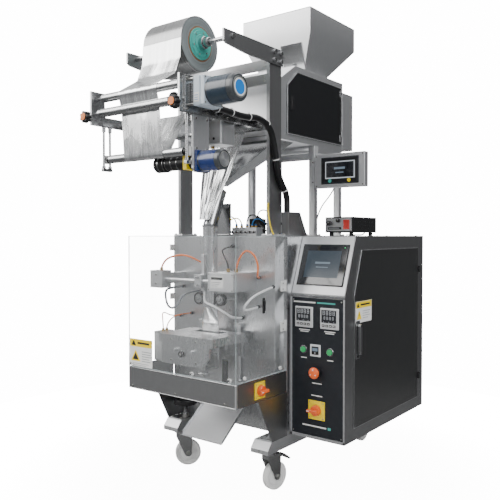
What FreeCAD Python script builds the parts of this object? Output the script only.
import FreeCAD, Part
import math
import os
import re
import Sketcher

# A free-standing vertical form fill sealer: a wheeled base with a machine body, an electrical
# cabinet on its right, a guarded sealing station in front, a film unwinding frame on two posts
# and a linear weigher on a stand behind them.
#
# Machine axes: X runs to the machine's right with zero on the film's centre line, Y runs from the
# front to the back with zero on the cabinet's front, Z runs up from the floor. Every node is moved
# by the same shift at the end, so that the whole machine stands centred on the origin.

DIMENSIONS = {
    # base and casters
    "wheel_radius": 50, "wheel_width": 26, "caster_height": 146, "caster_trail": 30,
    "caster_span": 424, "caster_front_y": -85, "caster_rear_y": 580,
    "fork_gap": 1.5, "fork_wall": 3, "head_radius": 24, "head_height": 16, "axle_radius": 5,
    "beam_width": 74, "beam_height": 42, "beam_front_y": -140, "beam_nose": 22, "beam_rear_y": 640,
    # body
    "body_width": 500, "body_rear_y": 660, "lower_front_y": -25, "front_y": -80,
    "deck_z": 895, "deck_sheet": 5, "body_wall": 3, "skirt_front_y": -311, "skirt_low_z": 343,
    "skirt_height": 76, "skirt_wall": 2, "skirt_left_x": -254, "skirt_right_x": 248,
    "gusset_low_y": -115, "gusset_high_y": -195, "guard_sheet": 5, "guard_gap": 2,
    "guard_opening_clear": 3, "guard_side_clear": 7,
    # cabinet
    "cabinet_left_x": 250, "cabinet_width": 216, "cabinet_depth": 666, "cabinet_wall": 2.5,
    "console_low_z": 691, "console_top_y": 75, "door_sheet": 2.5, "door_front_y": 62,
    "door_rear_y": 606, "door_low_z": 234, "door_high_z": 845, "door_slant_y": 115,
    "door_slant_z": 690, "panel_sheet": 2, "panel_margin": 6, "panel_low_z": 200,
    "panel_high_z": 680, "screen_width": 186, "screen_height": 150, "screen_proud": 6,
    "screen_rise": 34, "screen_lift": 0.05,
    "instrument_size": 72, "instrument_proud": 8, "instrument_z": 613, "instrument_span": 102,
    "counter_size": 42, "button_span": 106, "button_z": 499, "button_radius": 10,
    "collar_radius": 14, "collar_height": 4, "button_travel": 4, "button_proud": 8,
    "stop_cap_radius": 20, "stop_cap_height": 10, "stop_z": 424, "stop_stem": 18,
    "switch_plate_size": 66, "switch_plate_sheet": 3, "switch_z": 292, "switch_knob_radius": 18,
    "switch_knob_height": 26, "skirt_switch_y": -186, "skirt_plate_size": 56, "running_gap": 0.4,
    "handle_low_z": 486, "handle_length": 106, "handle_width": 14, "handle_proud": 16,
    "handle_y": 84,
    # upper frame
    "frame_width": 436, "post_sheet": 13, "post_depth": 70, "post_front_y": -88, "post_top_z": 1545,
    "cross_bar_height": 36, "cross_bar_sheet": 8, "cross_bar_high_z": 1470, "cross_bar_low_z": 1420,
    "arm_sheet": 8, "arm_front_y": -342, "arm_top_z": 1545, "arm_low_z": 1490, "arm_nose_z": 1508,
    "bolt_radius": 5, "bolt_head": 6, "bolt_head_radius": 8.5,
    # film path
    "film_width": 175, "roll_radius": 90, "core_radius": 38, "roll_y": -300, "roll_z": 1528,
    "flange_radius": 52, "flange_sheet": 9, "hub_radius": 20, "hub_length": 34, "shaft_radius": 8,
    "unwind_front_y": -520, "unwind_low_z": 1262, "unwind_high_z": 1295, "lug_high_z": 1374,
    "lug_depth": 56, "plate_sheet": 8, "roller_radius": 14, "roller_half": 178,
    "guide_y": -485, "guide_z": 1352, "drive_y": -500, "drive_z": 1300, "pin_radius": 5,
    "dancer_y": -461, "dancer_z": 1152, "dancer_rod_radius": 4, "dancer_rod_span": 26,
    "dancer_rod_low_z": 1122, "dancer_x": 190, "dancer_travel": 70, "idler_y": -352,
    "idler_z": 1276, "rear_roller_y": -53, "rear_roller_z": 1283, "film_sheet": 1.2,
    "film_clear": 0.8, "knob_radius": 20, "knob_height": 24, "knob_boss": 8,
    # feed motor and date coder
    "motor_y": -450, "motor_z": 1320, "gearbox_size": 88, "gearbox_length": 46,
    "motor_radius": 43, "motor_length": 118, "motor_plate": 6, "gear_radius": 26,
    "gear_width": 8, "gear_x": 162, "coder_y": -425, "coder_z": 1123, "coder_motor_radius": 32,
    "coder_motor_length": 92, "coder_head_radius": 22, "coder_shaft_radius": 12, "coder_head_left_x": 64,
    "coder_wheel_radius": 26, "coder_wheel_left_x": 20, "coder_box_left_x": 60,
    "coder_box_right_x": 178, "coder_box_front_y": -300, "coder_box_rear_y": -230,
    "coder_box_low_z": 1193, "coder_box_high_z": 1278,
    # forming tube and sealing station
    "tube_y": -150, "tube_radius": 25, "tube_wall": 1.5, "tube_low_z": 655, "tube_bend_z": 935,
    "tube_mouth_y": -95, "tube_mouth_z": 1060, "tube_stand_half": 34, "bag_width": 82, "bag_depth": 12, "bag_high_z": 640,
    "bag_low_z": 420, "wheel_pull_radius": 22, "wheel_pull_width": 20, "pull_z": 668,
    "seal_bar_width": 14, "seal_bar_depth": 10, "seal_bar_height": 130, "seal_bar_low_z": 700,
    "seal_travel": 4, "seal_pin_radius": 4, "cross_shaft_y": -206, "cross_shaft_z": 736, "cross_shaft_radius": 7,
    "drive_box_left_x": 46, "drive_box_right_x": 160, "drive_box_low_z": 704,
    "drive_box_height": 64, "cylinder_block_left_x": -226, "cylinder_block_width": 62,
    "jaw_low_z": 447, "jaw_high_z": 546, "jaw_front_y": -284, "jaw_plate": 8,
    "jaw_half_width": 112, "jaw_rail_x": 118, "jaw_rail_height": 26, "jaw_rail_width": 14,
    "jaw_rear_y": -104, "jaw_bar_half": 56, "jaw_bar_depth": 22, "jaw_bar_height": 30,
    "jaw_open_gap": 9, "jaw_travel": 8, "jaw_pin_x": 40, "rear_bar_depth": 20, "slot_half_x": 60, "slot_half_y": 22,
    "column_radius": 8, "column_x": 86, "column_y": -92, "carriage_travel": 50,
    "chute_half": 95, "chute_sheet": 2, "chute_top_z": 262, "chute_lip_y": -196,
    "chute_lip_z": 170, "chute_side": 14, "wheel_jack_radius": 44, "wheel_jack_height": 20,
    "jack_x": -192, "jack_y": -78, "jack_low_z": 242, "jack_stem_radius": 9,
    # weigher
    "weigher_left_x": -111, "weigher_width": 323, "leg_size": 25, "leg_front_y": 215,
    "leg_rear_y": 418, "stand_top_z": 1241, "housing_front_y": -17, "housing_rear_y": 433,
    "housing_top_z": 1518, "housing_shoulder_z": 1454, "housing_chamfer_y": 82,
    "housing_wall": 2.5, "weigher_box_rear_y": 520, "weigher_box_low_z": 1252,
    "weigher_box_high_z": 1482, "hatch_front_y": 25, "hatch_rear_y": 420, "hatch_low_z": 1262,
    "hatch_high_z": 1497, "hatch_slant_y": 90, "hatch_slant_z": 1440, "hatch_sheet": 4,
    "hopper_front_y": 184, "hopper_rear_y": 533, "hopper_top_z": 1764, "hopper_rim": 96,
    "hopper_wall": 2, "outlet_left_x": -40, "outlet_right_x": 150, "outlet_front_y": 232,
    "outlet_rear_y": 372, "gate_left_x": 70, "gate_width": 96, "gate_length": 100,
    "gate_sheet": 3, "gate_travel": 40, "pan_left_x": -20, "pan_right_x": 120,
    "pan_front_y": 96, "pan_rear_y": 400, "pan_z": 1440, "bucket_left_x": 0,
    "bucket_right_x": 100, "bucket_front_y": 14, "bucket_rear_y": 84, "bucket_low_z": 1280,
    "bucket_high_z": 1400, "funnel_left_x": -60, "funnel_right_x": 196, "funnel_front_y": -8,
    "funnel_rear_y": 96, "funnel_sheet": 2, "spout_half": 21,
    # weigher display and feeder controller
    "display_left_x": 226, "display_width": 210, "display_height": 127, "display_low_z": 1075,
    "display_depth": 28, "display_front_y": 196, "feeder_box_left_x": 300,
    "feeder_box_width": 114, "feeder_box_front_y": 150, "feeder_box_depth": 186,
    "feeder_box_height": 57, "feeder_foot": 12, "dial_radius": 9, "dial_height": 14,
    "small_dial_radius": 7, "rocker_width": 22, "rocker_height": 34,
    # cables
    "cable_radius": 11, "cable_x": 230, "entry_cover_left_x": 219,
    "entry_cover_width": 30, "entry_cover_low_y": -14, "entry_cover_depth": 120,
    "entry_cover_height": 84,
}

# Sizes that follow from the driving dimensions, kept as formulas of their names.
DERIVED = {
    "beam_low_z": "caster_height",
    "beam_high_z": "caster_height + beam_height",
    "beam_x": "caster_span / 2",
    "body_left_x": "-body_width / 2",
    "body_right_x": "body_width / 2",
    "body_top_z": "deck_z - deck_sheet",
    "front_right_x": "skirt_right_x - guard_sheet - guard_side_clear",
    "guard_rear_y": "lower_front_y - guard_opening_clear",
    "skirt_high_z": "skirt_low_z + skirt_height",
    "guard_low_z": "skirt_high_z + guard_gap",
    "cabinet_right_x": "cabinet_left_x + cabinet_width",
    "cabinet_mid_x": "cabinet_left_x + cabinet_width / 2",
    "door_face_x": "cabinet_right_x + door_sheet",
    "handle_face_x": "door_face_x + handle_proud",
    "post_inner_x": "frame_width / 2 - post_sheet",
    "post_outer_x": "frame_width / 2",
    "post_rear_y": "post_front_y + post_depth",
    "plate_outer_x": "post_inner_x",
    "plate_inner_x": "post_inner_x - plate_sheet",
    "weigher_right_x": "weigher_left_x + weigher_width",
    "feeder_box_low_z": "deck_z + feeder_foot",
    "roll_half": "film_width / 2",
    "knob_front_y": "unwind_front_y - knob_boss - knob_height",
    "jaw_mid_y": "tube_y",
    "centre_x": "(skirt_left_x + handle_face_x) / 2",
    "centre_y": "(knob_front_y + cabinet_depth) / 2",
}

PLANE_OF_AXIS = {"X": "YZ_Plane", "Y": "XZ_Plane", "Z": "XY_Plane"}
ROD_TURN = {
    "X": FreeCAD.Rotation(FreeCAD.Vector(0, 1, 0), 90),
    "Y": FreeCAD.Rotation(FreeCAD.Vector(1, 0, 0), -90),
    "Z": FreeCAD.Rotation(),
}
SKETCH_START_RADIUS = 100.0

doc = FreeCAD.newDocument("vertical_form_fill_sealer")
sheet = doc.addObject("Spreadsheet::Sheet", "Dims")
for row, (alias, amount) in enumerate(DIMENSIONS.items(), start=1):
    sheet.set(f"A{row}", alias)
    sheet.set(f"B{row}", str(amount))
    sheet.setAlias(f"B{row}", alias)
doc.recompute()

nodes = []


def formula(text):
    """Write a formula of plain names as an expression on the sheet's cells."""

    def cell(match):
        word = match.group(0)
        if word in DERIVED:
            return "(" + formula(DERIVED[word]) + ")"
        if word in DIMENSIONS:
            return "Dims." + word
        return word

    return re.sub(r"[A-Za-z_]\w*", cell, str(text))


def bind(piece, place, text):
    piece.setExpression(place, formula(text))


def put(piece, x, y, z, turn=None):
    """Set a piece's turn, and bind its position to the sheet."""
    if turn is not None:
        piece.Placement = FreeCAD.Placement(FreeCAD.Vector(), turn)
    for axis, text in zip("xyz", (x, y, z)):
        bind(piece, f"Placement.Base.{axis}", text)
    return piece


def block(x_low, x_high, y_low, y_high, z_low, z_high):
    """A box between three pairs of faces."""
    piece = doc.addObject("Part::Box", "Block")
    bind(piece, "Length", f"({x_high}) - ({x_low})")
    bind(piece, "Width", f"({y_high}) - ({y_low})")
    bind(piece, "Height", f"({z_high}) - ({z_low})")
    return put(piece, x_low, y_low, z_low)


def rod(axis, radius, low, high, first, second):
    """A cylinder along one axis, from low to high, at the two other coordinates in X, Y, Z order."""
    piece = doc.addObject("Part::Cylinder", "Rod")
    bind(piece, "Radius", radius)
    bind(piece, "Height", f"({high}) - ({low})")
    place = {"X": (low, first, second), "Y": (first, low, second), "Z": (first, second, low)}[axis]
    return put(piece, *place, turn=ROD_TURN[axis])


def taper(axis, low_radius, high_radius, low, high, first, second):
    """A cone along one axis."""
    piece = doc.addObject("Part::Cone", "Taper")
    bind(piece, "Radius1", low_radius)
    bind(piece, "Radius2", high_radius)
    bind(piece, "Height", f"({high}) - ({low})")
    place = {"X": (low, first, second), "Y": (first, low, second), "Z": (first, second, low)}[axis]
    return put(piece, *place, turn=ROD_TURN[axis])


def prism(axis, outline, low, high):
    """A padded sketch: corners are pairs of formulas in the plane across the axis."""
    body = doc.addObject("PartDesign::Body", "Body")
    plane = [face for face in body.Origin.OriginFeatures if face.Role == PLANE_OF_AXIS[axis]][0]
    sketch = body.newObject("Sketcher::SketchObject", "Outline")
    sketch.AttachmentSupport = (plane, [""])
    sketch.MapMode = "FlatFace"
    count = len(outline)
    ring = []
    for index in range(count):
        angle = 2 * math.pi * index / count
        across = SKETCH_START_RADIUS * math.cos(angle)
        along = SKETCH_START_RADIUS * math.sin(angle)
        ring.append(FreeCAD.Vector(across, along, 0))
    for index in range(count):
        sketch.addGeometry(Part.LineSegment(ring[index], ring[(index + 1) % count]), False)
    for index in range(count):
        sketch.addConstraint(Sketcher.Constraint("Coincident", index, 2, (index + 1) % count, 1))
    for index, corner in enumerate(outline):
        for kind, text, start in zip(("DistanceX", "DistanceY"), corner, ring[index]):
            number = sketch.addConstraint(Sketcher.Constraint(kind, index, 1, start))
            sketch.setExpression(f"Constraints[{number}]", formula(text))
    pad = body.newObject("PartDesign::Pad", "Pad")
    pad.Profile = sketch
    pad.Reversed = axis == "Y"
    bind(pad, "Length", f"({high}) - ({low})")
    bind(body, f"Placement.Base.{axis.lower()}", low)
    return body


def wedge(x_pair, z_pair, x_pair_top, z_pair_top, low, high):
    """A tapered block that stands along Z: a rectangle at low and another one at high.

    The pairs are in X and in Y. The primitive tapers along its own Y axis, so it is stood up and
    its Z sizes run along the machine's negative Y.
    """
    piece = doc.addObject("Part::Wedge", "Wedge")
    bind(piece, "Xmin", x_pair[0])
    bind(piece, "Xmax", x_pair[1])
    bind(piece, "X2min", x_pair_top[0])
    bind(piece, "X2max", x_pair_top[1])
    bind(piece, "Zmin", f"-({z_pair[1]})")
    bind(piece, "Zmax", f"-({z_pair[0]})")
    bind(piece, "Z2min", f"-({z_pair_top[1]})")
    bind(piece, "Z2max", f"-({z_pair_top[0]})")
    bind(piece, "Ymin", "0")
    bind(piece, "Ymax", f"({high}) - ({low})")
    return put(piece, "0", "0", low, turn=FreeCAD.Rotation(FreeCAD.Vector(1, 0, 0), 90))


def cut(base, *tools):
    """The base with every tool taken away."""
    for tool in tools:
        result = doc.addObject("Part::Cut", "Cut")
        result.Base = base
        result.Tool = tool
        base = result
    return base


def fuse(*pieces):
    result = doc.addObject("Part::MultiFuse", "Fusion")
    result.Shapes = list(pieces)
    return result


def common(first, second):
    result = doc.addObject("Part::Common", "Common")
    result.Base = first
    result.Tool = second
    return result


def gather(*pieces):
    result = doc.addObject("Part::Compound", "Group")
    result.Links = list(pieces)
    return result


def turned(piece, x, y, degrees):
    """A group turned about a vertical line at x, y; its pieces are drawn about the origin."""
    group = gather(piece)
    turn = FreeCAD.Rotation(FreeCAD.Vector(0, 0, 1), degrees)
    return put(group, x, y, "0", turn=turn)


def shaped(shape):
    """A piece whose shape is made in code."""
    piece = doc.addObject("Part::Feature", "Shaped")
    piece.Shape = shape
    return piece


def node(label, *pieces):
    """Close one sub-part: its pieces in a labelled group with the machine's shift."""
    group = gather(*pieces)
    group.Label = label
    put(group, "-centre_x", "-centre_y", "0")
    nodes.append(group)
    return group


def mirrored_pair(maker):
    """The same piece on the left and on the right of the film's centre line."""
    return [maker(side) for side in (-1, 1)]


def span(side, inner, outer):
    """Low and high X of a slab between two distances from the centre line, on one side."""
    if side > 0:
        return inner, outer
    return f"-({outer})", f"-({inner})"


# ---------------------------------------------------------------------------- base and casters

def caster_fork():
    """A swivel fork drawn about its swivel axis, with the wheel trailing behind."""
    half = "(wheel_width / 2 + fork_gap)"
    head = rod("Z", "head_radius", "caster_height - head_height", "caster_height - running_gap", "0", "0")
    crown = block(f"-{half} - fork_wall", f"{half} + fork_wall", "-head_radius * 0.7",
                  "caster_trail + 16", "wheel_radius * 2 + 14", "caster_height - head_height")
    leg_outline = [
        ("-head_radius * 0.7", "wheel_radius * 2 + 14"), ("caster_trail - 13", "wheel_radius - 6"),
        ("caster_trail - 6", "wheel_radius - 13"), ("caster_trail + 6", "wheel_radius - 13"),
        ("caster_trail + 13", "wheel_radius - 6"), ("caster_trail + 16", "wheel_radius * 2 + 14"),
    ]
    legs = [prism("X", leg_outline, *pair) for pair in
            ((f"-{half} - fork_wall", f"-{half}"), (half, f"{half} + fork_wall"))]
    axle = rod("X", "axle_radius", f"-{half} - fork_wall - 4", f"{half} + fork_wall + 4",
               "caster_trail", "wheel_radius")
    return fuse(head, crown, *legs, axle)


def caster_wheel():
    tread = rod("X", "wheel_radius", "-wheel_width / 2", "wheel_width / 2", "caster_trail", "wheel_radius")
    bore = rod("X", "axle_radius + 0.05", "-wheel_width", "wheel_width", "caster_trail", "wheel_radius")
    return cut(tread, bore)


def foot_beam(side):
    nose = [
        ("beam_front_y + beam_nose", "beam_high_z"), ("beam_front_y", "beam_low_z + 16"),
        ("beam_front_y", "beam_low_z"), ("beam_rear_y", "beam_low_z"), ("beam_rear_y", "beam_high_z"),
    ]
    middle = f"{side} * beam_x"
    return prism("X", nose, f"{middle} - beam_width / 2", f"{middle} + beam_width / 2")


CASTERS = {
    "front_left": ("-beam_x", "caster_front_y", -45),
    "front_right": ("beam_x", "caster_front_y", -10),
    "rear_left": ("-beam_x", "caster_rear_y", 0),
    "rear_right": ("beam_x", "caster_rear_y", 0),
}
rear_forks = []
for corner, (caster_x, caster_y, degrees) in CASTERS.items():
    fork = turned(caster_fork(), caster_x, caster_y, degrees)
    if corner.startswith("front"):
        node(f"caster_fork_{corner}", fork)
    else:
        rear_forks.append(fork)
    node(f"caster_wheel_{corner}", turned(caster_wheel(), caster_x, caster_y, degrees))
node("foot_beams", *mirrored_pair(foot_beam), *rear_forks)

pedal_low_y = "caster_trail + 16 + running_gap"
pedal_outline = [
    (pedal_low_y + " + 4", "wheel_radius * 2 + 14"), (pedal_low_y, "wheel_radius * 2 + 18"),
    (pedal_low_y + " + 4", "wheel_radius * 2 + 22"),
    ("caster_trail + 34", "wheel_radius * 2 + 22"), ("caster_trail + 68", "wheel_radius * 2"),
    ("caster_trail + 62", "wheel_radius * 2 - 5"), ("caster_trail + 34", "wheel_radius * 2 + 14"),
]
pedal = prism("X", pedal_outline, "-15", "15")
node("brake_pedal", turned(pedal, "beam_x", "caster_front_y", CASTERS["front_right"][2]))

# ---------------------------------------------------------------------------- body and guard

lower_shell = cut(
    block("body_left_x", "body_right_x", "lower_front_y", "body_rear_y", "beam_high_z", "body_top_z"),
    block("body_left_x + body_wall", "body_right_x - body_wall", "lower_front_y + body_wall",
          "body_rear_y + body_wall", "beam_high_z + body_wall", "body_top_z - body_wall"))
front_shell = cut(
    block("body_left_x", "front_right_x", "front_y", "lower_front_y", "skirt_low_z", "body_top_z"),
    block("body_left_x + body_wall", "front_right_x - body_wall", "front_y + body_wall",
          "lower_front_y + body_wall", "skirt_low_z + body_wall", "body_top_z - body_wall"))
rear_cover = block("body_left_x + body_wall + running_gap", "body_right_x - body_wall - running_gap",
                   "body_rear_y - body_wall", "body_rear_y",
                   "beam_high_z + body_wall + running_gap", "body_top_z - body_wall - running_gap")
gusset_outline = [
    ("lower_front_y", "beam_high_z"), ("gusset_low_y", "beam_high_z"),
    ("gusset_high_y", "skirt_low_z"), ("lower_front_y", "skirt_low_z"),
]
gussets = [prism("X", gusset_outline, *span(side, "body_width / 2 - 3", "body_width / 2"))
           for side in (-1, 1)]
deck = fuse(block("body_left_x", "body_right_x", "lower_front_y", "body_rear_y", "body_top_z", "deck_z"),
            block("body_left_x", "front_right_x", "front_y", "lower_front_y", "body_top_z", "deck_z"))
node("machine_body", lower_shell, front_shell, rear_cover, deck)

skirt_outline = [
    ("skirt_left_x", "front_y"), ("skirt_left_x", "skirt_front_y"),
    ("skirt_right_x", "skirt_front_y"), ("skirt_right_x", "lower_front_y"),
    ("skirt_right_x - skirt_wall", "lower_front_y"),
    ("skirt_right_x - skirt_wall", "skirt_front_y + skirt_wall"),
    ("skirt_left_x + skirt_wall", "skirt_front_y + skirt_wall"),
    ("skirt_left_x + skirt_wall", "front_y"),
]
node("guard_skirt", prism("Z", skirt_outline, "skirt_low_z", "skirt_high_z"), *gussets)

guard_hinges = [block("skirt_right_x - 6", "skirt_right_x", "guard_rear_y + 0.5", "lower_front_y",
                      low, high) for low, high in (("560", "600"), ("700", "740"))]
node("guard_side_panel", *guard_hinges,
     block("skirt_left_x", "skirt_left_x + guard_sheet", "skirt_front_y + guard_sheet + guard_opening_clear",
           "front_y", "guard_low_z", "deck_z"))
guard_outline = [
    ("skirt_left_x", "skirt_front_y"), ("skirt_right_x", "skirt_front_y"),
    ("skirt_right_x", "guard_rear_y"), ("skirt_right_x - guard_sheet", "guard_rear_y"),
    ("skirt_right_x - guard_sheet", "skirt_front_y + guard_sheet"),
    ("skirt_left_x", "skirt_front_y + guard_sheet"),
]
node("guard_door", prism("Z", guard_outline, "guard_low_z", "deck_z"))

# ---------------------------------------------------------------------------- cabinet

def cabinet_outline(inset):
    low = f"beam_high_z + {inset}"
    high = f"deck_z - {inset}"
    slope = "(console_top_y / (deck_z - console_low_z))"
    return [
        (f"{inset}", low), (f"{inset}", f"console_low_z - {inset} * 0.3"),
        (f"console_top_y + {inset} * 1.4 - {inset} * {slope}", high),
        (f"cabinet_depth - {inset}", high), (f"cabinet_depth - {inset}", low),
    ]


cabinet_skin = prism("X", cabinet_outline("0"), "cabinet_left_x", "cabinet_right_x")
cabinet_room = prism("X", cabinet_outline("cabinet_wall"), "cabinet_left_x + cabinet_wall",
                     "cabinet_right_x - cabinet_wall")
opening_outline = [
    ("door_front_y + 14", "door_low_z + 14"), ("door_front_y + 14", "door_slant_z"),
    ("door_slant_y + 12", "door_high_z - 14"), ("door_rear_y - 14", "door_high_z - 14"),
    ("door_rear_y - 14", "door_low_z + 14"),
]
cabinet_opening = prism("X", opening_outline, "cabinet_right_x - cabinet_wall * 2", "cabinet_right_x + 1")
door_hinges = [block("cabinet_right_x", "door_face_x", "door_rear_y + 0.5", "door_rear_y + 14", low, high)
               for low, high in (("748", "772"), ("310", "334"))]
node("cabinet_shell", cut(cabinet_skin, cabinet_room, cabinet_opening), *door_hinges)

door_outline = [
    ("door_front_y", "door_low_z"), ("door_front_y", "door_slant_z"), ("door_slant_y", "door_high_z"),
    ("door_rear_y", "door_high_z"), ("door_rear_y", "door_low_z"),
]
node("cabinet_door", prism("X", door_outline, "cabinet_right_x + 0.3", "door_face_x"))

handle_mid_z = "handle_low_z + handle_length / 2"
handle_bar = block("door_face_x + 6", "handle_face_x", "handle_y - handle_width / 2",
                   "handle_y + handle_width / 2", "handle_low_z", "handle_low_z + handle_length")
handle_boss = rod("X", "handle_width / 2 - 1", "door_face_x + 0.3", "door_face_x + 6.5", "handle_y",
                  "handle_low_z + handle_length - handle_width / 2")
node("cabinet_handle", fuse(handle_bar, handle_boss))

panel = block("cabinet_left_x + panel_margin", "cabinet_right_x - panel_margin", "-panel_sheet", "0",
              "panel_low_z", "panel_high_z")


def instrument(middle_x, middle_z, width, proud):
    return block(f"{middle_x} - {width} / 2", f"{middle_x} + {width} / 2", f"-panel_sheet - {proud}",
                 "-panel_sheet", f"{middle_z} - {width} / 2", f"{middle_z} + {width} / 2")


def button_collar(middle_x):
    ring = rod("Y", "collar_radius", "-panel_sheet - collar_height", "-panel_sheet", middle_x, "button_z")
    bore = rod("Y", "button_radius + running_gap", "-panel_sheet - collar_height - 1", "-panel_sheet + 1",
               middle_x, "button_z")
    return cut(ring, bore)


left_button_x = "cabinet_mid_x - button_span / 2"
right_button_x = "cabinet_mid_x + button_span / 2"
instrument_pair = [instrument(f"cabinet_mid_x {sign} instrument_span / 2", "instrument_z",
                              "instrument_size", "instrument_proud") for sign in "-+"]
counter = instrument("cabinet_mid_x - 5", "button_z", "counter_size", "instrument_proud - 3")
collars = [button_collar(left_button_x), button_collar(right_button_x)]
stop_collar = cut(rod("Y", "collar_radius + 3", "-panel_sheet - collar_height * 2", "-panel_sheet",
                      "cabinet_mid_x", "stop_z"),
                  rod("Y", "stop_cap_radius / 2 + running_gap", "-panel_sheet - collar_height * 2 - 1",
                      "-panel_sheet + 1", "cabinet_mid_x", "stop_z"))


def push_button(middle_x):
    """A cap that stands proud of its collar by more than it travels."""
    face = "-panel_sheet - button_proud"
    return rod("Y", "button_radius", face, "-panel_sheet - button_travel - running_gap", middle_x, "button_z")


node("start_button", push_button(left_button_x))
node("stop_button", push_button(right_button_x))

stop_cap_y = "-panel_sheet - stop_stem"
stop_cap = taper("Y", "stop_cap_radius * 0.9", "stop_cap_radius", f"{stop_cap_y} - stop_cap_height",
                 stop_cap_y, "cabinet_mid_x", "stop_z")
stop_stem = rod("Y", "stop_cap_radius / 2", stop_cap_y, "-panel_sheet - button_travel - running_gap",
                "cabinet_mid_x", "stop_z")
node("emergency_stop", fuse(stop_cap, stop_stem))

plate_face_y = "-panel_sheet - switch_plate_sheet"
main_plate = block("cabinet_mid_x - switch_plate_size / 2", "cabinet_mid_x + switch_plate_size / 2",
                   plate_face_y, "-panel_sheet", "switch_z - switch_plate_size / 2",
                   "switch_z + switch_plate_size / 2")
skirt_mid_z = "(skirt_low_z + skirt_height * 0.5)"
skirt_plate_x = "skirt_right_x + switch_plate_sheet"
skirt_plate = block("skirt_right_x", skirt_plate_x, "skirt_switch_y - skirt_plate_size / 2",
                    "skirt_switch_y + skirt_plate_size / 2", f"{skirt_mid_z} - skirt_plate_size / 2",
                    f"{skirt_mid_z} + skirt_plate_size / 2")
node("switch_plates", main_plate, skirt_plate)

grip_half = "5"
main_knob = rod("Y", "switch_knob_radius", f"{plate_face_y} - 14", f"{plate_face_y} - running_gap",
                "cabinet_mid_x", "switch_z")
main_grip = block("cabinet_mid_x - switch_knob_radius - 8", "cabinet_mid_x + switch_knob_radius",
                  f"{plate_face_y} - switch_knob_height", f"{plate_face_y} - 13.5",
                  f"switch_z - {grip_half}", f"switch_z + {grip_half}")
node("main_switch_knob", fuse(main_knob, main_grip))
skirt_knob = rod("X", "switch_knob_radius", f"{skirt_plate_x} + running_gap", f"{skirt_plate_x} + 14",
                 "skirt_switch_y", skirt_mid_z)
skirt_grip = block(f"{skirt_plate_x} + 13.5", f"{skirt_plate_x} + switch_knob_height",
                   "skirt_switch_y - switch_knob_radius - 8", "skirt_switch_y + switch_knob_radius",
                   f"{skirt_mid_z} - {grip_half}", f"{skirt_mid_z} + {grip_half}")
node("skirt_switch_knob", fuse(skirt_knob, skirt_grip))

# The touch screen lies on the sloping console: drawn flat about the slope's lower edge, then tilted.
slope_angle = math.degrees(math.atan2(DIMENSIONS["deck_z"] - DIMENSIONS["console_low_z"],
                                      DIMENSIONS["console_top_y"]))
screen = block("-screen_width / 2", "screen_width / 2", "screen_rise", "screen_rise + screen_height",
               "screen_lift", "screen_proud")
screen_group = put(gather(screen), "cabinet_mid_x", "0", "console_low_z",
                   turn=FreeCAD.Rotation(FreeCAD.Vector(1, 0, 0), slope_angle))
node("operator_panel", panel, *instrument_pair, counter, *collars, stop_collar, screen_group)

# Inside the cabinet: a mounting plate with a controller, relays, a power supply and a terminal rail.
mount_x = "cabinet_left_x + cabinet_wall"
mounting_plate = block(mount_x, f"{mount_x} + 3", "120", "560", "260", "800")
devices = []
for low_y, high_y, low_z, high_z, depth in (
        (150, 330, 640, 760, 80), (360, 530, 640, 760, 95), (150, 530, 500, 560, 62),
        (150, 300, 320, 430, 110), (330, 530, 330, 400, 48)):
    devices.append(block(f"{mount_x} + 3", f"{mount_x} + 3 + {depth}", str(low_y), str(high_y),
                         str(low_z), str(high_z)))
node("electrics_plate", mounting_plate, *devices)

# ---------------------------------------------------------------------------- upper frame

def post(side):
    return block(*span(side, "post_inner_x", "post_outer_x"), "post_front_y", "post_rear_y",
                 "deck_z", "post_top_z")


def cross_bar(low_z):
    return block("-post_inner_x", "post_inner_x", "post_front_y", "post_front_y + cross_bar_sheet",
                 low_z, f"{low_z} + cross_bar_height")


arm_outline = [
    ("arm_front_y", "arm_nose_z"), ("arm_front_y + 12", "arm_nose_z - 8"),
    ("post_front_y - 140", "arm_low_z"), ("post_rear_y", "arm_low_z"), ("post_rear_y", "arm_top_z"),
    ("arm_front_y", "arm_top_z"),
]


def roll_arm(side):
    return prism("X", arm_outline, *span(side, "post_outer_x", "post_outer_x + arm_sheet"))


shaft_notch = rod("X", "shaft_radius + 0.05", "-post_outer_x - 30", "post_outer_x + 30", "roll_y", "roll_z")
arms = mirrored_pair(roll_arm)
slotted_arms = [cut(arm, shaft_notch) for arm in arms]


def bolt(side, y, z, seat_x):
    return rod("X", "bolt_head_radius", *span(side, seat_x, f"{seat_x} + bolt_head"), y, z)


bolt_heads = []
for bolt_side in (-1, 1):
    for bolt_y in ("post_front_y + 16", "post_rear_y - 16"):
        for bolt_z in ("arm_low_z + 13", "arm_top_z - 13"):
            bolt_heads.append(bolt(bolt_side, bolt_y, bolt_z, "post_outer_x + arm_sheet"))
cross_bars = [cross_bar("cross_bar_high_z"), cross_bar("cross_bar_low_z")]
node("upper_frame", *mirrored_pair(post), *cross_bars, *slotted_arms, *bolt_heads)

unwind_outline = [
    ("unwind_front_y", "unwind_low_z"), ("post_rear_y", "unwind_low_z"),
    ("post_rear_y", "unwind_high_z"), ("unwind_front_y + lug_depth + 4", "unwind_high_z"),
    ("unwind_front_y + lug_depth", "lug_high_z"), ("unwind_front_y", "lug_high_z"),
]


def unwind_plate(side):
    return prism("X", unwind_outline, *span(side, "plate_inner_x", "plate_outer_x"))


def dancer_rod(side, offset):
    return rod("Z", "dancer_rod_radius", "dancer_rod_low_z", "unwind_low_z", f"{side} * dancer_x",
               f"dancer_y {offset} dancer_rod_span / 2")


def dancer_foot(side):
    return block(f"{side} * dancer_x - 6", f"{side} * dancer_x + 6", "dancer_y - dancer_rod_span / 2 - 6",
                 "dancer_y + dancer_rod_span / 2 + 6", "dancer_rod_low_z - 10", "dancer_rod_low_z")


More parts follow.
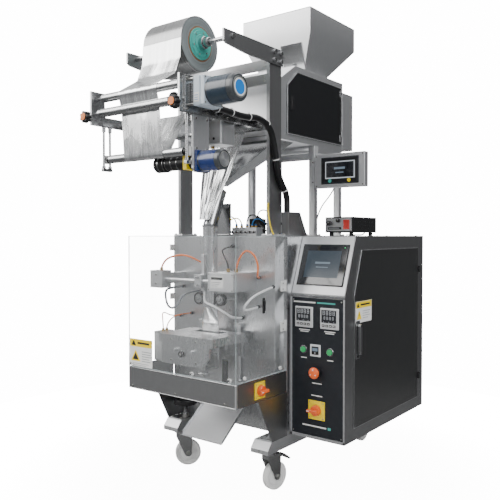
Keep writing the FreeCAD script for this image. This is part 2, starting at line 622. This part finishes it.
def rod_head(side):
    """The block under a side plate that takes both dancer rods."""
    inner, outer = span(side, "dancer_x - 8", "plate_inner_x")
    return block(inner, outer, "dancer_y - dancer_rod_span / 2 - 7", "dancer_y + dancer_rod_span / 2 + 7",
                 "unwind_low_z", "unwind_low_z + 12")


def roller_pin(side, y, z, radius="pin_radius"):
    return rod("X", radius, *span(side, "roller_half - 10", "plate_inner_x"), y, z)


roller_pins = [roller_pin(side, y, z) for side in (-1, 1)
               for y, z in (("guide_y", "guide_z"), ("drive_y", "drive_z"), ("idler_y", "idler_z"),
                            ("rear_roller_y", "rear_roller_z"))]
dancer_rods = [dancer_rod(side, offset) for side in (-1, 1) for offset in "-+"]

# ---------------------------------------------------------------------------- film and rollers

def roller(y, z, half="roller_half", radius="roller_radius"):
    barrel = rod("X", radius, f"-({half})", half, y, z)
    bore = rod("X", "pin_radius + 0.05", f"-({half}) - 1", f"{half} + 1", y, z)
    return cut(barrel, bore)


roll_body = cut(rod("X", "roll_radius", "-roll_half", "roll_half", "roll_y", "roll_z"),
                rod("X", "core_radius", "-roll_half - 1", "roll_half + 1", "roll_y", "roll_z"))
node("film_roll", roll_body)
spindle_parts = [rod("X", "shaft_radius", "-post_outer_x - arm_sheet - 6", "post_outer_x + arm_sheet + 6",
                     "roll_y", "roll_z")]
for flange_side in (-1, 1):
    spindle_parts.append(rod("X", "flange_radius",
                             *span(flange_side, "roll_half + 0.3", "roll_half + flange_sheet"),
                             "roll_y", "roll_z"))
    spindle_parts.append(rod("X", "core_radius - 0.3", *span(flange_side, "roll_half - 20", "roll_half + 1"),
                             "roll_y", "roll_z"))
    spindle_parts.append(rod("X", "hub_radius",
                             *span(flange_side, "roll_half + flange_sheet - 1",
                                   "roll_half + flange_sheet + hub_length"), "roll_y", "roll_z"))
node("roll_spindle", fuse(*spindle_parts))

node("guide_roller", roller("guide_y", "guide_z"))
drive_gear_x = "gear_x"
drive_gear = rod("X", "gear_radius - 0.6", drive_gear_x, f"{drive_gear_x} + gear_width", "drive_y", "drive_z")
node("drive_roller", cut(fuse(rod("X", "roller_radius", "-roller_half", "roller_half", "drive_y", "drive_z"),
                              drive_gear),
                         rod("X", "pin_radius + 0.05", "-roller_half - 1", "roller_half + 1",
                             "drive_y", "drive_z")))
node("unwind_plates", *mirrored_pair(unwind_plate), *roller_pins, *dancer_rods,
     *mirrored_pair(dancer_foot), *mirrored_pair(rod_head), roller("idler_y", "idler_z"))
node("rear_roller", roller("rear_roller_y", "rear_roller_z"))

slider_half = "dancer_rod_span / 2 - dancer_rod_radius - 0.3"
dancer_parts = [rod("X", "roller_radius", "-roller_half + 8", "roller_half - 8", "dancer_y", "dancer_z"),
                rod("X", "pin_radius", "-dancer_x - 6", "dancer_x + 6", "dancer_y", "dancer_z")]
for slider_side in (-1, 1):
    dancer_parts.append(block(f"{slider_side} * dancer_x - 6", f"{slider_side} * dancer_x + 6",
                              f"dancer_y - ({slider_half})", f"dancer_y + ({slider_half})",
                              "dancer_z - 14", "dancer_z + 14"))
node("dancer_roller", fuse(*dancer_parts))


def clamp_knob(side):
    middle = f"{side} * (plate_inner_x + plate_outer_x) / 2"
    boss = rod("Y", "knob_radius * 0.5", "unwind_front_y - knob_boss", "unwind_front_y - running_gap",
               middle, "drive_z - 14")
    grip = rod("Y", "knob_radius", "knob_front_y", "unwind_front_y - knob_boss", middle, "drive_z - 14")
    return fuse(boss, grip)


node("clamp_knob_left", clamp_knob(-1))
node("clamp_knob_right", clamp_knob(1))

# Film: a slack web from the roll to the guide roller, an S round the drive roller, a loop under
# the dancer, a straight run to the rear roller, a narrowing sheet to the forming tube, and the tube
# of film that ends as a flat bag between the jaws.
size = {alias: float(amount) for alias, amount in DIMENSIONS.items()}
film_reach = size["roller_radius"] + size["film_clear"]
roll_reach = size["roll_radius"] + size["film_clear"]


def film_strip(centre_line, half_width):
    """A thin band of film: its centre line in Y and Z, offset to both sides and padded along X."""
    half_sheet = size["film_sheet"] / 2
    near_side = []
    far_side = []
    for index, (y, z) in enumerate(centre_line):
        before = centre_line[max(index - 1, 0)]
        after = centre_line[min(index + 1, len(centre_line) - 1)]
        run_y = after[0] - before[0]
        run_z = after[1] - before[1]
        length = math.hypot(run_y, run_z)
        off_y = -run_z / length * half_sheet
        off_z = run_y / length * half_sheet
        near_side.append(FreeCAD.Vector(-half_width, y + off_y, z + off_z))
        far_side.append(FreeCAD.Vector(-half_width, y - off_y, z - off_z))
    ring = near_side + far_side[::-1]
    face = Part.Face(Part.makePolygon(ring + ring[:1]))
    return face.extrude(FreeCAD.Vector(2 * half_width, 0, 0))


def wrap(centre, reach, start, end, steps):
    """Points round a roller between two angles in degrees, measured from +Y towards +Z."""
    points = []
    for step in range(steps + 1):
        angle = math.radians(start + (end - start) * step / steps)
        points.append((centre[0] + reach * math.cos(angle), centre[1] + reach * math.sin(angle)))
    return points


guide_centre = (size["guide_y"], size["guide_z"])
drive_centre = (size["drive_y"], size["drive_z"])
dancer_centre = (size["dancer_y"], size["dancer_z"])
idler_centre = (size["idler_y"], size["idler_z"])
rear_centre = (size["rear_roller_y"], size["rear_roller_z"])
roll_front = (size["roll_y"] - roll_reach - size["film_sheet"], size["roll_z"])
upper_web = [roll_front, (roll_front[0] - 2, roll_front[1] - 60), (roll_front[0] - 26, roll_front[1] - 118)]
upper_web += wrap(guide_centre, film_reach, 128, 216, 6)
upper_web += wrap(drive_centre, film_reach + 0.4, 34, -8, 4)
upper_web += wrap(dancer_centre, film_reach, 184, 344, 10)
upper_web += wrap(idler_centre, film_reach, 154, 92, 5)
upper_web += wrap(rear_centre, film_reach, 91, 55, 3)
film_half = size["film_width"] / 2
web_piece = film_strip(upper_web, film_half)

tube_film_radius = size["tube_radius"] + size["film_clear"] + size["film_sheet"]
sheet_top = (rear_centre[0] - film_reach * 0.5, rear_centre[1] - film_reach)
sheet_low = (size["tube_y"] - tube_film_radius - 1, size["tube_bend_z"] + 16)
low_half = size["bag_width"] / 2
fan_low = FreeCAD.Vector(0, sheet_low[0], sheet_low[1])
fan_ring = [
    FreeCAD.Vector(-film_half, sheet_top[0] + 2, sheet_top[1] - 4),
    FreeCAD.Vector(film_half, sheet_top[0] + 2, sheet_top[1] - 4),
    FreeCAD.Vector(low_half * 0.7, fan_low.y, fan_low.z),
    FreeCAD.Vector(-low_half * 0.7, fan_low.y, fan_low.z),
]
fan_face = Part.Face(Part.makePolygon(fan_ring + fan_ring[:1]))
fan_piece = fan_face.extrude(FreeCAD.Vector(0, -size["film_sheet"], 0))
# A narrow tongue carries the sheet down in front of the tube's bend and into the film round it.
tongue_half = size["spout_half"] - 5
tongue_front = sheet_low[0] - size["film_sheet"]
tongue_low = sheet_low[1] - 40
tongue = Part.makeBox(2 * tongue_half, size["film_sheet"], sheet_low[1] - tongue_low + 1,
                      FreeCAD.Vector(-tongue_half, tongue_front, tongue_low))
tongue_root = Part.makeBox(2 * tongue_half, size["film_sheet"] + 1.4, 14,
                           FreeCAD.Vector(-tongue_half, tongue_front, tongue_low))
fan_piece = fan_piece.fuse([tongue, tongue_root])
tube_film = Part.makeCylinder(tube_film_radius, size["tube_bend_z"] - size["bag_high_z"] - 4,
                              FreeCAD.Vector(0, size["tube_y"], size["bag_high_z"]))
tube_film = tube_film.cut(Part.makeCylinder(size["tube_radius"] + size["film_clear"], 400,
                                            FreeCAD.Vector(0, size["tube_y"], size["bag_high_z"] - 1)))
bag = Part.makeBox(size["bag_width"], size["bag_depth"], size["bag_high_z"] - size["bag_low_z"],
                   FreeCAD.Vector(-low_half, size["tube_y"] - size["bag_depth"] / 2, size["bag_low_z"]))
node("film_web", shaped(web_piece), shaped(fan_piece), shaped(tube_film), shaped(bag))

# ---------------------------------------------------------------------------- motor and coder

gearbox_face_x = "plate_outer_x + motor_plate"
motor_plate = block("plate_outer_x", gearbox_face_x, "motor_y - gearbox_size / 2 - 8",
                    "motor_y + gearbox_size / 2 + 8", "unwind_low_z", "motor_z + gearbox_size / 2 + 6")
gearbox = block(gearbox_face_x, f"{gearbox_face_x} + gearbox_length", "motor_y - gearbox_size / 2",
                "motor_y + gearbox_size / 2", "motor_z - gearbox_size / 2", "motor_z + gearbox_size / 2")
motor_case = rod("X", "motor_radius", f"{gearbox_face_x} + gearbox_length",
                 f"{gearbox_face_x} + gearbox_length + motor_length", "motor_y", "motor_z")
shaft_hole = rod("X", "shaft_radius + 0.05", "plate_outer_x - 1", f"{gearbox_face_x} + 20", "motor_y", "motor_z")
node("feed_motor", cut(motor_plate, shaft_hole), cut(fuse(gearbox, motor_case), shaft_hole))
pinion = rod("X", "gear_radius + 2", "gear_x", "gear_x + gear_width", "motor_y", "motor_z")
motor_shaft = rod("X", "shaft_radius", "gear_x + gear_width - 1", f"{gearbox_face_x} + 19", "motor_y", "motor_z")
node("motor_gear", fuse(pinion, motor_shaft))

coder_bracket = block("plate_inner_x", "plate_outer_x", "coder_y - 36", "coder_y + 36",
                      "coder_z - 38", "unwind_low_z")
coder_motor = rod("X", "coder_motor_radius", "plate_outer_x", "plate_outer_x + coder_motor_length",
                  "coder_y", "coder_z")
coder_head = fuse(rod("X", "coder_head_radius", "coder_head_left_x", "coder_box_right_x",
                      "coder_y", "coder_z"),
                  rod("X", "coder_shaft_radius", "coder_head_left_x", "plate_inner_x", "coder_y", "coder_z"))
coder_box = block("coder_box_left_x", "coder_box_right_x", "coder_box_front_y", "coder_box_rear_y",
                  "coder_box_low_z", "coder_box_high_z")
coder_arm = block("coder_box_right_x", "plate_inner_x", "coder_box_front_y + 10", "coder_box_rear_y - 10",
                  "unwind_low_z", "coder_box_high_z")
node("date_coder", coder_bracket, coder_motor, coder_head, coder_box, coder_arm)
node("coder_wheel", rod("X", "coder_wheel_radius", "coder_wheel_left_x", "coder_head_left_x - 0.4",
                        "coder_y", "coder_z"))

# ---------------------------------------------------------------------------- forming and sealing

tilt = math.degrees(math.atan2(size["tube_mouth_y"] - size["tube_y"],
                               size["tube_mouth_z"] - size["tube_bend_z"]))
slant_length = math.hypot(size["tube_mouth_y"] - size["tube_y"], size["tube_mouth_z"] - size["tube_bend_z"])


def tube_path(radius, extra):
    """The forming tube's two straight runs, as a solid bar of one radius."""
    upright = rod("Z", radius, f"tube_low_z - {extra}", "tube_bend_z", "0", "tube_y")
    slanted = doc.addObject("Part::Cylinder", "Rod")
    bind(slanted, "Radius", radius)
    slanted.Height = slant_length + extra
    put(slanted, "0", "tube_y", "tube_bend_z", turn=FreeCAD.Rotation(FreeCAD.Vector(1, 0, 0), -tilt))
    elbow = doc.addObject("Part::Sphere", "Elbow")
    bind(elbow, "Radius", radius)
    put(elbow, "0", "tube_y", "tube_bend_z")
    return fuse(upright, slanted, elbow)


stand_plate = block("-tube_stand_half", "tube_stand_half", "front_y", "front_y + 8", "deck_z",
                    "tube_bend_z + 78")
stand_arm = block("-12", "12", "tube_y + 24", "front_y + 8", "tube_bend_z + 62", "tube_bend_z + 78")
node("forming_tube", cut(fuse(tube_path("tube_radius", 0), stand_arm, stand_plate),
                         tube_path("tube_radius - tube_wall", 2)))


def spout(inset, stretch):
    low_x = (f"-spout_half + {inset}", f"spout_half - {inset}")
    low_y = (f"tube_mouth_y - spout_half + {inset}", f"tube_mouth_y + spout_half - {inset}")
    high_x = (f"funnel_left_x + {inset}", f"funnel_right_x - {inset}")
    high_y = (f"funnel_front_y + {inset}", f"funnel_rear_y - {inset}")
    return wedge(low_x, low_y, high_x, high_y, f"tube_mouth_z + 16 - {stretch}", f"stand_top_z + {stretch}")


node("product_chute", cut(spout("0", "0"), spout("funnel_sheet", "0.01")))

pull_x = "(tube_radius + film_clear + film_sheet + 0.6 + wheel_pull_radius)"


def pull_wheel(side):
    return rod("Y", "wheel_pull_radius", "tube_y - wheel_pull_width / 2", "tube_y + wheel_pull_width / 2",
               f"{side} * {pull_x}", "pull_z")


def pull_axle(side):
    return rod("Y", "pin_radius + 1", "tube_y + wheel_pull_width / 2 + 0.4", "front_y",
               f"{side} * {pull_x}", "pull_z")


node("pull_wheel_left", pull_wheel(-1))
node("pull_wheel_right", pull_wheel(1))

block_right_x = "cylinder_block_left_x + cylinder_block_width"
seal_block = block("cylinder_block_left_x", block_right_x, "cross_shaft_y - 24", "cross_shaft_y + 24",
                   "cross_shaft_z - 32", "cross_shaft_z + 32")
seal_arm = block("cylinder_block_left_x + 10", "cylinder_block_left_x + 40", "cross_shaft_y + 24",
                 "front_y", "cross_shaft_z - 20", "cross_shaft_z + 20")
cross_shafts = [rod("X", "cross_shaft_radius", low, high, "cross_shaft_y", "cross_shaft_z")
                for low, high in ((block_right_x, "-16"), ("16", "drive_box_left_x"))]
drive_box = block("drive_box_left_x", "drive_box_right_x", "cross_shaft_y - 10", "front_y",
                  "drive_box_low_z", "drive_box_low_z + drive_box_height")

bar_rear_y = "tube_y - tube_radius - film_clear - film_sheet - seal_travel - 0.6"
seal_bar = block("-seal_bar_width / 2", "seal_bar_width / 2", f"{bar_rear_y} - seal_bar_depth", bar_rear_y,
                 "seal_bar_low_z", "seal_bar_low_z + seal_bar_height")
guide_block = block("-16", "16", "cross_shaft_y - 12", "cross_shaft_y + 12", "cross_shaft_z - 22",
                    "cross_shaft_z + 22")
bar_pins = []
for pin_z in ("cross_shaft_z - 13", "cross_shaft_z + 13"):
    bar_pins.append(rod("Y", "seal_pin_radius", "cross_shaft_y - 20", f"{bar_rear_y} - 1", "0", pin_z))
    pin_bore = rod("Y", "seal_pin_radius + 0.05", "cross_shaft_y - 13", "cross_shaft_y + 13", "0", pin_z)
    guide_block = cut(guide_block, pin_bore)
node("vertical_seal_bar", fuse(seal_bar, *bar_pins))

# The jaw carriage rides on two columns and carries a front and a rear jaw that close on the bag.
carriage_outline = [
    ("-jaw_half_width", "jaw_low_z"), ("jaw_half_width - 34", "jaw_low_z"),
    ("jaw_half_width", "jaw_low_z + 40"), ("jaw_half_width", "jaw_high_z"),
    ("-jaw_half_width", "jaw_high_z"),
]
front_plate = prism("Y", carriage_outline, "jaw_front_y", "jaw_front_y + jaw_plate")
rear_plate = block("-jaw_half_width", "jaw_half_width", "jaw_rear_y - jaw_plate", "jaw_rear_y",
                   "jaw_low_z + 20", "jaw_high_z")
top_plate = cut(block("-jaw_half_width", "jaw_half_width", "jaw_front_y", "jaw_rear_y", "jaw_high_z",
                      "jaw_high_z + 4"),
                block("-slot_half_x", "slot_half_x", "tube_y - slot_half_y", "tube_y + slot_half_y",
                      "jaw_high_z - 1", "jaw_high_z + 5"))


def jaw_rail(side):
    return block(*span(side, "jaw_half_width", "jaw_half_width + jaw_rail_width"), "jaw_front_y",
                 "jaw_rear_y", "jaw_high_z - jaw_rail_height", "jaw_high_z + 4")


def column_bush(side):
    bush = block(f"{side} * column_x - 13", f"{side} * column_x + 13", "jaw_rear_y - 1", "front_y - 2",
                 "jaw_low_z + 30", "jaw_high_z - 10")
    bore = rod("Z", "column_radius + 0.05", "jaw_low_z", "jaw_high_z", f"{side} * column_x", "column_y")
    return cut(bush, bore)


def jaw_pins(low, high, radius):
    return [rod("Y", radius, low, high, f"{side} * jaw_pin_x", f"{jaw_z} + jaw_bar_height / 2")
            for side in (-1, 1)]


def column(side):
    return rod("Z", "column_radius", "jaw_low_z - carriage_travel - 20", "jaw_high_z + 24",
               f"{side} * column_x", "column_y")


def column_holder(side, low_z):
    return block(f"{side} * column_x - 16", f"{side} * column_x + 16", "column_y - 12", "front_y",
                 low_z, f"{low_z} + 12")


jaw_cylinder = block("-jaw_half_width - jaw_rail_width - 44", "-jaw_half_width - jaw_rail_width",
                     "jaw_front_y + 20", "jaw_front_y + 84", "jaw_low_z - 2", "jaw_high_z + 4")
jaw_z = "(jaw_low_z + 38)"
carriage = fuse(front_plate, rear_plate, top_plate, *mirrored_pair(jaw_rail), *mirrored_pair(column_bush))
carriage = cut(carriage, *jaw_pins("jaw_front_y - 1", "jaw_front_y + jaw_plate + 1", "pin_radius + 0.05"),
               *jaw_pins("jaw_rear_y - jaw_plate - 1", "jaw_rear_y + 1", "pin_radius + 0.05"))
node("jaw_carriage", carriage, jaw_cylinder)
columns = []
for column_side in (-1, 1):
    columns.append(column(column_side))
    columns.append(column_holder(column_side, "jaw_high_z + 24"))
    columns.append(column_holder(column_side, "jaw_low_z - carriage_travel - 32"))
node("seal_unit", seal_block, seal_arm, *cross_shafts, guide_block, drive_box, *mirrored_pair(pull_axle),
     *columns)

bag_front_y = "tube_y - bag_depth / 2"
bag_rear_y = "tube_y + bag_depth / 2"


def jaw_bar(low, high):
    return block("-jaw_bar_half", "jaw_bar_half", low, high, jaw_z, f"{jaw_z} + jaw_bar_height")


front_bar = jaw_bar(f"{bag_front_y} - jaw_open_gap - jaw_bar_depth", f"{bag_front_y} - jaw_open_gap")
front_pins = jaw_pins("jaw_front_y - 12", f"{bag_front_y} - jaw_open_gap - 1", "pin_radius")
node("front_jaw", fuse(front_bar, *front_pins))
rear_bar = jaw_bar(f"{bag_rear_y} + jaw_open_gap", f"{bag_rear_y} + jaw_open_gap + rear_bar_depth")
rear_pins = jaw_pins(f"{bag_rear_y} + jaw_open_gap + 1", "front_y - 2", "pin_radius")
node("rear_jaw", fuse(rear_bar, *rear_pins))

chute_outline = [
    ("lower_front_y", "chute_top_z + chute_sheet + 40"), ("chute_lip_y", "chute_lip_z + chute_sheet"),
    ("chute_lip_y - 9", "chute_lip_z + chute_sheet"), ("chute_lip_y - 9", "chute_lip_z"),
    ("chute_lip_y", "chute_lip_z"), ("lower_front_y", "chute_top_z + 40"),
]
chute_side_outline = [
    ("lower_front_y", "chute_top_z + 40"), ("lower_front_y", "chute_top_z + 40 + chute_side"),
    ("chute_lip_y", "chute_lip_z + chute_side"), ("chute_lip_y", "chute_lip_z"),
]
chute_sides = [prism("X", chute_side_outline, *span(side, "chute_half - chute_sheet", "chute_half"))
               for side in (-1, 1)]
node("discharge_chute", fuse(prism("X", chute_outline, "-chute_half", "chute_half"), *chute_sides))

jack_wheel = rod("Z", "wheel_jack_radius", "jack_low_z", "jack_low_z + wheel_jack_height", "jack_x", "jack_y")
jack_stem = rod("Z", "jack_stem_radius", "beam_high_z + 0.3", "jack_low_z", "jack_x", "jack_y")
node("jack_handwheel", fuse(jack_wheel, jack_stem))

# ---------------------------------------------------------------------------- weigher

legs = [block(x, f"{x} + leg_size", y, f"{y} + leg_size", "deck_z", "stand_top_z")
        for x in ("weigher_left_x", "weigher_right_x - leg_size") for y in ("leg_front_y", "leg_rear_y - 14")]
rails = [block("weigher_left_x + leg_size", "weigher_right_x - leg_size", y, f"{y} + leg_size",
               "stand_top_z - leg_size", "stand_top_z") for y in ("leg_front_y", "leg_rear_y - 14")]
side_rails = [block(x, f"{x} + leg_size", "leg_front_y + leg_size", "leg_rear_y - 14",
                    "stand_top_z - leg_size", "stand_top_z")
              for x in ("weigher_left_x", "weigher_right_x - leg_size")]


def housing_outline(inset):
    return [
        (f"housing_front_y + {inset}", f"stand_top_z + {inset}"),
        (f"housing_front_y + {inset}", f"housing_shoulder_z - {inset} * 0.3"),
        (f"housing_chamfer_y + {inset} * 0.3", f"housing_top_z - {inset}"),
        (f"housing_rear_y - {inset}", f"housing_top_z - {inset}"),
        (f"housing_rear_y - {inset}", f"stand_top_z + {inset}"),
    ]


housing_skin = prism("X", housing_outline("0"), "weigher_left_x", "weigher_right_x")
housing_room = prism("X", housing_outline("housing_wall"), "weigher_left_x + housing_wall",
                     "weigher_right_x - housing_wall")
hatch_hole_outline = [
    ("hatch_front_y + 12", "hatch_low_z + 12"), ("hatch_front_y + 12", "hatch_slant_z - 6"),
    ("hatch_slant_y + 6", "hatch_high_z - 12"), ("hatch_rear_y - 12", "hatch_high_z - 12"),
    ("hatch_rear_y - 12", "hatch_low_z + 12"),
]
hatch_hole = prism("X", hatch_hole_outline, "weigher_right_x - housing_wall * 2", "weigher_right_x + 1")
floor_hole = block("bucket_left_x - 6", "bucket_right_x + 6", "bucket_front_y - 6", "bucket_rear_y + 6",
                   "stand_top_z - 1", "stand_top_z + housing_wall + 1")
roof_hole = block("outlet_left_x + hopper_wall", "outlet_right_x - hopper_wall",
                  "outlet_front_y + hopper_wall", "outlet_rear_y - hopper_wall",
                  "housing_top_z - housing_wall - 1", "housing_top_z + 1")
weigher_box = cut(
    block("weigher_left_x + 20", "weigher_right_x", "housing_rear_y", "weigher_box_rear_y",
          "weigher_box_low_z", "weigher_box_high_z"),
    block("weigher_left_x + 20 + housing_wall", "weigher_right_x - housing_wall",
          "housing_rear_y + housing_wall", "weigher_box_rear_y - housing_wall",
          "weigher_box_low_z + housing_wall", "weigher_box_high_z - housing_wall"))
hatch_hinges = [block("weigher_right_x", "weigher_right_x + hatch_sheet", "hatch_rear_y + 0.5", "hatch_rear_y + 12",
                      low, high) for low, high in (("1300", "1322"), ("1446", "1468"))]

hatch_outline = [
    ("hatch_front_y", "hatch_low_z"), ("hatch_front_y", "hatch_slant_z"),
    ("hatch_slant_y", "hatch_high_z"), ("hatch_rear_y", "hatch_high_z"), ("hatch_rear_y", "hatch_low_z"),
]
node("weigher_hatch", prism("X", hatch_outline, "weigher_right_x + 0.3", "weigher_right_x + hatch_sheet"))

pan = cut(block("pan_left_x", "pan_right_x", "pan_front_y", "pan_rear_y", "pan_z", "pan_z + 50"),
          block("pan_left_x + 2", "pan_right_x - 2", "pan_front_y - 2", "pan_rear_y - 2", "pan_z + 2", "pan_z + 51"))
shaker = block("pan_left_x + 30", "pan_right_x - 30", "pan_front_y + 80", "pan_rear_y - 60",
               "stand_top_z + housing_wall", "pan_z")
bucket = cut(block("bucket_left_x", "bucket_right_x", "bucket_front_y", "bucket_rear_y", "bucket_low_z",
                   "bucket_high_z"),
             block("bucket_left_x + 2", "bucket_right_x - 2", "bucket_front_y + 2", "bucket_rear_y - 2",
                   "bucket_low_z - 1", "bucket_high_z + 1"))
load_cell = block("bucket_right_x", "weigher_right_x - housing_wall - 40", "bucket_front_y + 20",
                  "bucket_rear_y - 20", "bucket_low_z + 50", "bucket_low_z + 76")
cell_stand = block("weigher_right_x - housing_wall - 40", "weigher_right_x - housing_wall - 10",
                   "bucket_front_y + 10", "bucket_rear_y - 10", "stand_top_z + housing_wall",
                   "bucket_low_z + 90")
bucket_floor = block("bucket_left_x", "bucket_right_x", "bucket_front_y", "bucket_rear_y",
                     "bucket_low_z - 2", "bucket_low_z")
node("weigher_housing", cut(housing_skin, housing_room, hatch_hole, floor_hole, roof_hole), weigher_box,
     *hatch_hinges, pan, shaker, bucket, bucket_floor, load_cell, cell_stand)

hopper_low_z = "hopper_top_z - hopper_rim"


def hopper_body(inset, stretch):
    rim = block(f"weigher_left_x + {inset}", f"weigher_right_x - {inset}", f"hopper_front_y + {inset}",
                f"hopper_rear_y - {inset}", hopper_low_z, f"hopper_top_z + {stretch}")
    cone = wedge((f"outlet_left_x + {inset}", f"outlet_right_x - {inset}"),
                 (f"outlet_front_y + {inset}", f"outlet_rear_y - {inset}"),
                 (f"weigher_left_x + {inset}", f"weigher_right_x - {inset}"),
                 (f"hopper_front_y + {inset}", f"hopper_rear_y - {inset}"),
                 f"housing_top_z - {stretch}", hopper_low_z)
    return fuse(rim, cone)


node("hopper", cut(hopper_body("0", "0"), hopper_body("hopper_wall", "0.01")))

# The adjusting gate slides up the hopper's sloping front: drawn upright, then leaned onto the slope.
lean = math.degrees(math.atan2(size["outlet_front_y"] - size["hopper_front_y"],
                               size["hopper_top_z"] - size["hopper_rim"] - size["housing_top_z"]))
gate = block("gate_left_x", "gate_left_x + gate_width", "-gate_sheet - 0.4", "-0.4", "28", "28 + gate_length")
gate_screw = rod("Y", "6", "-gate_sheet - 14", "-gate_sheet - 0.4", "gate_left_x + gate_width / 2", "48")
node("hopper_gate", put(gather(fuse(gate, gate_screw)), "0", "outlet_front_y", "housing_top_z",
                        turn=FreeCAD.Rotation(FreeCAD.Vector(1, 0, 0), lean)))

# ---------------------------------------------------------------------------- display and controller

display_case = block("display_left_x", "display_left_x + display_width", "display_front_y",
                     "display_front_y + display_depth", "display_low_z", "display_low_z + display_height")
display_panel = block("display_left_x + 30", "display_left_x + 186", "display_front_y - 3",
                      "display_front_y", "display_low_z + 14", "display_low_z + display_height - 14")
node("weigher_display", display_case, display_panel)
hinge_axis_y = "display_front_y + display_depth / 2"
display_arms = []
for arm_z in ("display_low_z + 16", "display_low_z + display_height - 36"):
    display_arms.append(block("weigher_right_x", "display_left_x - running_gap", "leg_front_y + 1",
                              "display_front_y + display_depth", arm_z, f"{arm_z} + 20"))
node("weigher_stand", *legs, *rails, *side_rails, *display_arms)

feeder_case = block("feeder_box_left_x", "feeder_box_left_x + feeder_box_width", "feeder_box_front_y",
                    "feeder_box_front_y + feeder_box_depth", "feeder_box_low_z",
                    "feeder_box_low_z + feeder_box_height")
feet = [rod("Z", "8", "deck_z", "feeder_box_low_z", f"feeder_box_left_x + {x}", f"feeder_box_front_y + {y}")
        for x in (16, 98) for y in (18, 168)]
node("feeder_controller", feeder_case, *feet)
dial_face = "feeder_box_front_y - running_gap"
node("amplitude_dial", rod("Y", "dial_radius", f"{dial_face} - dial_height", dial_face,
                           "feeder_box_left_x + 20", "feeder_box_low_z + 34"))
node("speed_dial", rod("Y", "small_dial_radius", f"{dial_face} - dial_height + 3", dial_face,
                       "feeder_box_left_x + 56", "feeder_box_low_z + 44"))
rocker_low_z = "(feeder_box_low_z + 12)"
rocker_mid_z = f"{rocker_low_z} + rocker_height / 2"
rocker_high_z = f"{rocker_low_z} + rocker_height"
rocker_outline = [
    (dial_face, rocker_mid_z), (f"{dial_face} - 3", rocker_low_z), (f"{dial_face} - 7", rocker_low_z),
    (f"{dial_face} - 5", rocker_mid_z), (f"{dial_face} - 7", rocker_high_z),
    (f"{dial_face} - 3", rocker_high_z),
]
node("power_rocker", prism("X", rocker_outline, "feeder_box_left_x + 78",
                           "feeder_box_left_x + 78 + rocker_width"))

# ---------------------------------------------------------------------------- cables

cover_right_x = "entry_cover_left_x + entry_cover_width"
cover_outline = [
    ("entry_cover_low_y", "deck_z"), ("entry_cover_low_y", "deck_z + entry_cover_height"),
    ("entry_cover_low_y + entry_cover_depth * 0.6", "deck_z + entry_cover_height"),
    ("entry_cover_low_y + entry_cover_depth", "deck_z"),
]
entry_cover = prism("X", cover_outline, "entry_cover_left_x", cover_right_x)
manifold = block("40", "150", "front_y + 6", "front_y + 44", "deck_z", "deck_z + 30")
solenoid = block("86", "132", "front_y + 50", "front_y + 90", "deck_z", "deck_z + 62")


def rounded_route(points):
    """Straight runs joined by tangent arcs, each as large as its two runs allow."""
    edges = []
    start = points[0]
    for before, corner, after in zip(points, points[1:], points[2:]):
        into = corner.sub(before)
        out = after.sub(corner)
        turn = into.getAngle(out)
        radius = 0.45 * min(into.Length, out.Length) / math.tan(turn / 2)
        reach = radius * math.tan(turn / 2)
        into.normalize()
        out.normalize()
        arc_start = corner - into * reach
        arc_end = corner + out * reach
        inward = (out - into).normalize()
        middle = corner + inward * (radius / math.cos(turn / 2) - radius)
        edges.append(Part.LineSegment(start, arc_start).toShape())
        edges.append(Part.Arc(arc_start, middle, arc_end).toShape())
        print("cable bend radius", round(radius, 1))
        start = arc_end
    edges.append(Part.LineSegment(start, points[-1]).toShape())
    return Part.Wire(edges)


def cable(points):
    route = rounded_route([FreeCAD.Vector(*point) for point in points])
    first = route.Edges[0]
    direction = first.tangentAt(first.FirstParameter)
    circle = Part.Wire(Part.makeCircle(size["cable_radius"], first.valueAt(first.FirstParameter), direction))
    tube = route.makePipeShell([circle], True, False)
    expected = math.pi * size["cable_radius"] ** 2 * route.Length
    print("cable volume over section times length", round(tube.Volume / expected, 4))
    return tube


cable_x = size["cable_x"]
cover_top_z = size["deck_z"] + size["entry_cover_height"]
cable_start_y = size["motor_y"] + size["gearbox_size"] / 2
cable_z = size["unwind_high_z"] - 8
cable_drop_y = 2
CABLE_ROUTE = [
    (cable_start_y, cable_z), (cable_start_y + 60, cable_z), (-255, cable_z - 7), (-165, cable_z + 3),
    (-100, cable_z - 21), (-72, 1190), (-50, 1100), (cable_drop_y, 1040), (cable_drop_y, cover_top_z),
]
clamps = [block("plate_outer_x", "cable_x - cable_radius", f"{y} - 7", f"{y} + 7",
                "unwind_high_z - 20", "unwind_high_z - 2") for y in ("-346", "-165")]
node("cable_bundle", shaped(cable([(cable_x, y, z) for y, z in CABLE_ROUTE])), *clamps, entry_cover,
     manifold, solenoid)

# ---------------------------------------------------------------------------- check and export

doc.recompute()
for item in doc.Objects:
    if "Invalid" in item.State or "Error" in item.State:
        raise RuntimeError(f"{item.Name} in {item.Label} failed: {item.State}")
for group in nodes:
    if group.Shape.isNull() or not group.Shape.isValid():
        raise RuntimeError(f"{group.Label} has no valid shape")
os.makedirs("parts", exist_ok=True)
for group in nodes:
    group.Shape.exportStep(f"parts/{group.Label}.step")
print(len(nodes), "nodes written")
